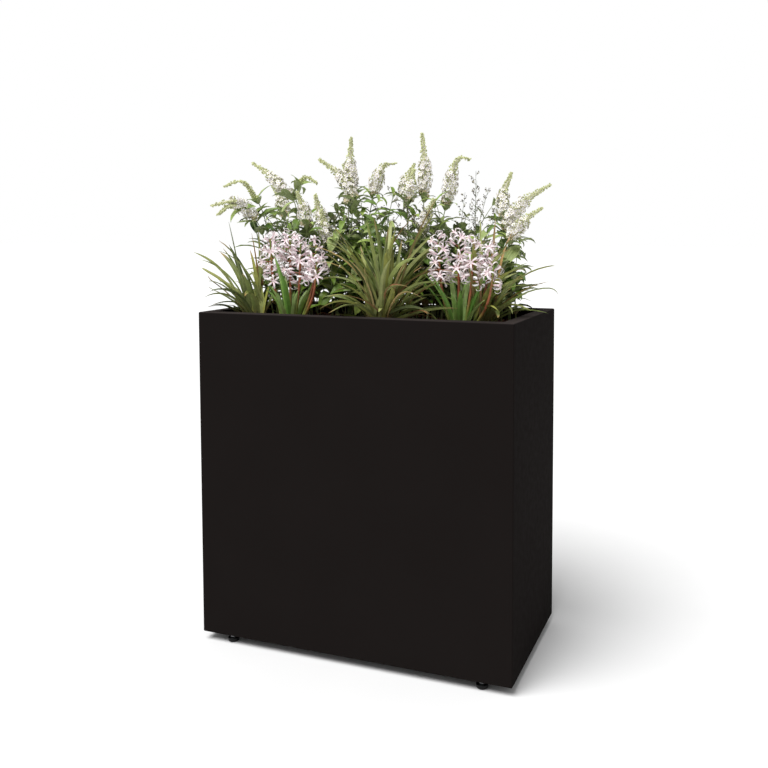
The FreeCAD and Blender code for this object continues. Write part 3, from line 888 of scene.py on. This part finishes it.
def tall_shoot(rng, leaves, floret, bud, flowers, foot, *points):
    """A leafy stem that ends in a flower spike."""
    ground, spike = rooted(*mm(*foot)), [mm(*point) for point in points]
    start = spike[0]
    middle = (ground + start) / 2 + (start - ground) * (-0.16, -0.16, 0)
    path = curve_through([ground, middle, *spike], 60)
    split = int(np.argmin(np.linalg.norm(path - start, axis=1)))
    stem = path[:split + 1]
    along = np.linspace(0, 1, len(stem))[:, None]
    tints = OLD_STEM * (1 - along) + STEM_GREEN * along
    pieces = [tube(stem, np.linspace(2.0, 1.2, len(stem)) * MM, tints, 6, STEM)]
    pairs = np.linspace(0.12, 0.96, max(4, int(np.linalg.norm(start - ground) / 0.036)))
    pieces += clothe(rng, stem, leaves, pairs, lambda share: 1.25 - 0.25 * share, 0.35)
    pieces += clothe(rng, stem, leaves, np.array((0.985, 0.998)), lambda share: 0.85, 0.7)
    return pieces + flower_spike(rng, path[split:], floret, bud, flowers)


def loosestrife(seed, low, shoots):
    """Leafy stems that end in flower spikes, over a mass of low leafy shoots."""
    rng = np.random.default_rng(seed)
    leaves, broad = ([loosestrife_leaf(rng, *mm(*size)) for size in sizes]
                     for sizes in (LEAF_SIZES, BROAD_LEAF_SIZES))
    floret, bud = loosestrife_floret(), bud_piece()
    pieces = []
    for shoot in shoots:
        pieces += tall_shoot(rng, leaves, floret, bud, *shoot)
    for i in range(low["count"]):
        ground = rooted(*low["foot"]) + (*rng.normal(0, (38 * MM, 26 * MM)), 0)
        height = rng.uniform(*low["height"])
        path = arching_path(ground, i * GOLDEN_ANGLE, height, slant(rng, 2, low["lean"]),
                            slant(rng, 5, 30), 14)
        pieces.append(tube(path, np.linspace(1.6, 0.8, 14) * MM, STEM_GREEN * 0.8, 6, STEM))
        shares = np.linspace(0.25, 0.99, int(rng.uniform(5, 8)))
        chosen = broad if rng.random() < BROAD_SHARE and height < BROAD_HEIGHT else leaves
        pieces += clothe(rng, path, chosen, shares, lambda share: 1.15 - 0.45 * share, 0.15)
    return pieces


# ---- airy sprigs

SPRIG_STEM, SPRIG_DOT = 0, 1
SPRIG_GREEN, TWIG_GREEN = srgb(84, 96, 58), srgb(108, 116, 76)
DOT_DARK, DOT_PALE = srgb(84, 74, 66), srgb(190, 184, 160)
TWIGS, DOTS = 22, 7  # twigs on a stem, flower buds on a twig

# Each spray's foot on the mulch (metres) and the tips of its stems (millimetres).
SPRIGS = {
    "sprig_left": dict(foot=(-0.275, 0.08), seed=41, tips=[
        (-360, 50, 1075), (-300, 40, 1050), (-240, 80, 1060), (-110, -10, 1070), (-75, 0, 1100),
        (-50, -20, 1050)]),
    "sprig_right": dict(foot=(0.2, 0.085), seed=42, tips=[
        (225, 80, 1172), (190, 100, 1120), (255, 90, 1130), (215, 120, 1150), (20, 0, 1130),
        (65, -10, 1100), (-30, 0, 1100), (115, 0, 1085), (290, 70, 1100), (0, -20, 1060),
        (50, -30, 1050), (90, -20, 1060)]),
}


def sprig(foot, tips, seed):
    """Thin stems that fork into hair-fine twigs, each with a scatter of tiny flower buds."""
    rng = np.random.default_rng(seed)
    dot = lathe(mm(-0.4, 0.2, 1.0, 1.7), mm(0.2, 0.75, 0.75, 0.2), np.ones(3), 4, SPRIG_DOT)
    pieces = []
    for tip in tips:
        ground, tip = rooted(*foot) + (*rng.normal(0, 5 * MM, 2), 0), mm(*tip)
        middle = (ground + tip) / 2 + (*rng.normal(0, 8 * MM, 2), 0)
        path = curve_through([ground, middle, tip], 24)
        pieces.append(tube(path, np.linspace(1.2, 0.35, 24) * MM, SPRIG_GREEN, 6, SPRIG_STEM))
        for share in np.linspace(0.35, 0.97, TWIGS):
            place = point_on(path, np.array((share,)))[0][0]
            azimuth = rng.uniform(0, TURN)
            length = rng.uniform(0.026, 0.06) * (1.3 - share)
            twig = arching_path(place, azimuth, length, slant(rng, 30, 70), math.radians(-25), 6)
            pieces.append(tube(twig, np.linspace(0.45, 0.25, 6) * MM, TWIG_GREEN, 4, SPRIG_STEM))
            spots, _ = point_on(twig, rng.uniform(0.35, 1.0, DOTS))
            offsets = unit(rng.normal(0, 1, (DOTS, 3)))
            dark = rng.random((DOTS, 1)) < 0.6
            shades = np.where(dark, DOT_DARK, DOT_PALE) * rng.uniform(0.7, 1.2, (DOTS, 1))
            pieces.append(scatter(dot, spots + offsets * 1.6 * MM,
                                  frames_on(offsets, np.zeros(DOTS)),
                                  rng.uniform(1.0, 2.0, DOTS), shades))
    return pieces


# ---- filling

BARK_TINTS = [srgb(120, 66, 46), srgb(94, 50, 36), srgb(142, 86, 60), srgb(70, 40, 30),
              srgb(156, 104, 76)]
BARK_COUNT = 2900
PEBBLE_PITCH, PEBBLE_LAYERS = 17.0 * MM, 3
FLEECE_HALF_THICKNESS, FLEECE_DENT = 0.55 * MM, 0.25 * MM


def bark_chips():
    """Layers of flat, torn bark pieces over the whole bed."""
    rng = np.random.default_rng(51)
    low, high = corners("bark_mulch")
    steps, angle = np.linspace(-1, 1, 5), -TURN * np.arange(6) / 6
    taper = np.array((0.35, 0.9, 1.0, 0.85, 0.3))[:, None]
    pieces = []
    for _ in range(BARK_COUNT):
        size = mm(rng.uniform(7, 24), rng.uniform(4, 9), rng.uniform(1.3, 2.8))
        torn = rng.uniform(0.75, 1.15, (5, 6))
        ends = np.repeat(steps[:, None] * size[0], 6, 1) + rng.normal(0, 0.8 * MM, (5, 6))
        rings = np.stack([ends, np.cos(angle) * size[1] * taper * torn,
                          np.sin(angle) * size[2] * taper * torn], -1)
        turn, tilt, roll = rng.uniform(0, TURN), rng.normal(0, 0.16), rng.normal(0, 0.3)
        ahead = heading(turn) * math.cos(tilt) + UP * math.sin(tilt)
        level = unit(np.cross(UP, ahead))
        above = np.cross(ahead, level)
        side = level * math.cos(roll) + above * math.sin(roll)
        above = above * math.cos(roll) - level * math.sin(roll)
        rings = rings @ np.stack([ahead, side, above])
        margin = (size[0], size[0], 3 * MM)
        place = rng.uniform(low + margin, high - margin)
        rings = np.clip(rings + place, low + 0.3 * MM, high + mm(-0.3, -0.3, 4))
        tint = np.array(BARK_TINTS[rng.integers(5)]) * rng.uniform(0.7, 1.15)
        pieces.append(loft(rings, tint))
    return pieces


def lumpy_block(node, cell, depth, seed):
    """A closed block with unevenly dented faces, as loose filling has against its neighbours."""
    rng = np.random.default_rng(seed)
    low, high = corners(node)
    counts = np.maximum(2, np.round((high - low) / cell)).astype(int)
    points, quads, seen = [], [], {}

    def corner(index):
        if index not in seen:
            seen[index] = len(points)
            share = np.array(index) / counts
            spot = low + share * (high - low)
            inward = np.where(share == 0, 1.0, np.where(share == 1, -1.0, 0.0))
            loose = rng.uniform(-0.35, 0.35, 3) * cell * (inward == 0)
            points.append(spot + loose * 0.6 + inward * rng.uniform(0, depth))
        return seen[index]

    for axis in range(3):
        first, second = [a for a in range(3) if a != axis]
        for end in (0, counts[axis]):
            for i, j in np.ndindex(counts[first], counts[second]):
                ring = []
                for di, dj in ((0, 0), (1, 0), (1, 1), (0, 1)):
                    index = [0, 0, 0]
                    index[axis], index[first], index[second] = int(end), i + di, j + dj
                    ring.append(corner(tuple(index)))
                outward = (end > 0) != (axis == 1)
                quads.append(ring if outward else ring[::-1])
    points, quads = np.array(points), np.array(quads)
    return points, quads, np.ones(points.shape), np.zeros(points.shape), np.zeros(len(quads), int)


def pebble_bed():
    """Round fired-clay pebbles in settled layers."""
    rng = np.random.default_rng(61)
    low, high = corners("drainage_pebbles")
    depth = (high[2] - low[2]) / PEBBLE_LAYERS
    angle = np.array((-70, -35, 5, 40, 72)) * math.pi / 180
    ball = lathe(np.sin(angle), np.cos(angle), np.ones(3), 6)
    places = []
    for layer in range(PEBBLE_LAYERS):
        start = low + PEBBLE_PITCH * 0.55 + PEBBLE_PITCH / 2 * (layer % 2)
        stop = high - PEBBLE_PITCH * 0.5
        for x in np.arange(start[0], stop[0], PEBBLE_PITCH):
            for y in np.arange(start[1], stop[1], PEBBLE_PITCH):
                places.append((x, y, low[2] + depth * (layer + 0.5)))
    places = np.array(places) + rng.uniform(-0.8, 0.8, (len(places), 3)) * MM
    axes = rng.normal(0, 1, (len(places), 3))
    radii = rng.uniform(6.6, 8.0, len(places)) * MM
    places[:, 2] = np.clip(places[:, 2], low[2] + radii, high[2] - radii)
    shades = srgb(168, 112, 84) * rng.uniform(0.6, 1.2, (len(places), 1))
    return [scatter(ball, places, frames_on(axes, axes[:, 0]), radii, shades)]


def fleece_sheet():
    """One thin sheet laid flat between the pebbles and the soil, with shallow dents."""
    rng = np.random.default_rng(71)
    low, high = corners("filter_fleece")
    x, y = np.meshgrid(np.linspace(low[0], high[0], 81), np.linspace(low[1], high[1], 41),
                       indexing="ij")
    dent = rng.uniform(-FLEECE_DENT, FLEECE_DENT, x.shape)
    middle = (low[2] + high[2]) / 2
    top, bottom = (np.stack([x, y, middle + half + dent], -1)
                   for half in (FLEECE_HALF_THICKNESS, -FLEECE_HALF_THICKNESS))
    rings = np.concatenate([top, bottom[:, ::-1]], axis=1)
    return [loft(rings[:, ::-1], np.ones(3))]


# ---- threaded studs

THREAD_PITCH, THREAD_DEPTH, THREAD_START = 1.25 * MM, 0.65 * MM, 11.3 * MM
STUD_RADIUS, STUD_SIDES = 4 * MM, 24

# Outlines of the stud's turned end and of its hexagon collar: radius and level, in millimetres.
HEAD_OUTLINE = [(6.5, 0), (7, 0.5), (7, 2.6), (6.6, 3), (4, 3), (4, 6.5)]
COLLAR_OUTLINE = [(6.7, 6.4), (7.5, 6.9), (7.5, 10.9), (6.7, 11.4)]


def ring_of(radii, level, sides=STUD_SIDES):
    """Points round the Z axis at a level."""
    angle = -TURN * np.arange(sides) / sides
    return np.stack([np.cos(angle) * radii, np.sin(angle) * radii, np.full(sides, level)], -1)


def stud(node):
    """A levelling screw: round head for the pad's socket, hexagon collar and thread above."""
    low, high = corners(node)
    height = high[2] - low[2]
    pieces = [[ring_of(*mm(*spot), sides) for spot in outline]
              for outline, sides in ((HEAD_OUTLINE, STUD_SIDES), (COLLAR_OUTLINE, 6))]
    turn = np.arange(STUD_SIDES) / STUD_SIDES
    thread = []
    for level in np.arange(THREAD_START, height - 0.6 * MM, THREAD_PITCH / 6):
        phase = (level / THREAD_PITCH + turn) % 1.0
        groove = np.clip(np.abs(phase - 0.5) * 2.4 - 0.2, 0, 1)
        fade = min(1.0, (level - THREAD_START) / THREAD_PITCH)
        thread.append(ring_of(STUD_RADIUS - THREAD_DEPTH * groove * fade, level))
    thread.append(ring_of(STUD_RADIUS - THREAD_DEPTH, height))
    foot = np.array((*(low + high)[:2] / 2, low[2]))
    return [loft(np.array(rings) + foot, np.ones(3)) for rings in (*pieces, thread)]


# ---- assembly

make_camera()
make_key_light()
make_surroundings()
make_floor()

FINISHES = {
    "shell_coating": powder_coat("shell_coating", (0.0099, 0.008, 0.0075),
                                 (0.0119, 0.0098, 0.0093), 0.004),
    "inner_coating": powder_coat("inner_coating", (0.006,) * 3, (0.012,) * 3, 0.3),
    "zinc_steel": zinc_plate(),
    "foot_plastic": moulded_plastic(),
}
for subpart in frame["record"]["subparts"]:
    finish = FINISHES.get(subpart["material_slot"])
    if finish:
        slots = frame["nodes"][subpart["node"]].data.materials
        if not slots:
            slots.append(finish)
        for number in range(len(slots)):
            slots[number] = finish

GRASS_FINISH = [
    foliage("grass_upper", 0.45, 0.4, veins=0.35, vein_count=14, rib=0.35,
            rib_color=srgb(170, 180, 128)),
    foliage("grass_under", 0.6, 0.3, veins=0.35, vein_count=14, wash=srgb(140, 148, 104),
            wash_share=0.25),
]
HYACINTH_FINISH = [
    foliage("strap_upper", 0.35, 0.5, veins=0.3, vein_count=26, rib=0.3,
            rib_color=srgb(150, 190, 110), coat=0.15),
    foliage("strap_under", 0.4, 0.5, veins=0.3, vein_count=26, wash=srgb(96, 140, 70),
            wash_share=0.3),
    foliage("hyacinth_petal", 0.5, 0.35, rib=0.12, rib_color=srgb(226, 190, 206), mottle=0.05,
            subsurface=0.15),
    foliage("hyacinth_stalk", 0.4, 0.45, mottle=0.3),
]
LOOSESTRIFE_FINISH = [
    foliage("leaf_upper", 0.45, 0.3, veins=0.25, vein_count=18, rib=0.5,
            rib_color=srgb(128, 152, 78)),
    foliage("leaf_under", 0.65, 0.25, veins=0.2, vein_count=18, rib=0.5,
            rib_color=srgb(196, 200, 170), wash=srgb(172, 182, 138), wash_share=0.65),
    foliage("loosestrife_stem", 0.5, 0.35, mottle=0.2),
    foliage("loosestrife_petal", 0.55, 0.3, rib=0.12, rib_color=srgb(226, 222, 204), mottle=0.05),
    foliage("loosestrife_bud", 0.5, 0.35, mottle=0.12),
]
SPRIG_FINISH = [
    foliage("sprig_twig", 0.6, 0.3, mottle=0.2),
    foliage("sprig_bud", 0.6, 0.3, mottle=0.15),
]

PLANTS = [
    (GRASS_CLUMPS, grass_clump, "clump", GRASS_FINISH, "grass_blades"),
    (HYACINTHS, hyacinth, "bulbs", HYACINTH_FINISH, "hyacinth"),
    (LOOSESTRIFES, loosestrife, "shrub", LOOSESTRIFE_FINISH, "loosestrife"),
    (SPRIGS, sprig, "spray", SPRIG_FINISH, "sprig_stems"),
]
for plants, grow, habit, finish, slot in PLANTS:
    for name, plant in plants.items():
        build(f"{name}_{habit}", grow(**plant), finish, name, keep=True)

SOIL = crumb("potting_soil_crumb", (0.012, 0.008, 0.005), (0.05, 0.033, 0.022), 260.0, 1.5 * MM)
CLAY = crumb("fired_clay", (0.22, 0.1, 0.055), (0.42, 0.22, 0.14), 300.0, 0.6 * MM)
SOIL_BLOCK = lumpy_block("potting_soil", 12 * MM, 1.6 * MM, 52)
build("bark_chips", bark_chips(), [bark_material()], "bark_mulch", sharp=35)
build("soil_block", [SOIL_BLOCK], [SOIL], "potting_soil", sharp=80)
build("clay_pebble_bed", pebble_bed(), [CLAY], "drainage_pebbles", sharp=80)
fleece = build("fleece_sheet", fleece_sheet(), [fleece_material()], "filter_fleece",
               sharp=60)

for body in frame["bodies"]:
    if body.startswith("foot_stud_"):
        build(f"threaded_{body[5:]}", stud(body), [FINISHES["zinc_steel"]], body,
              body=body, sharp=40)
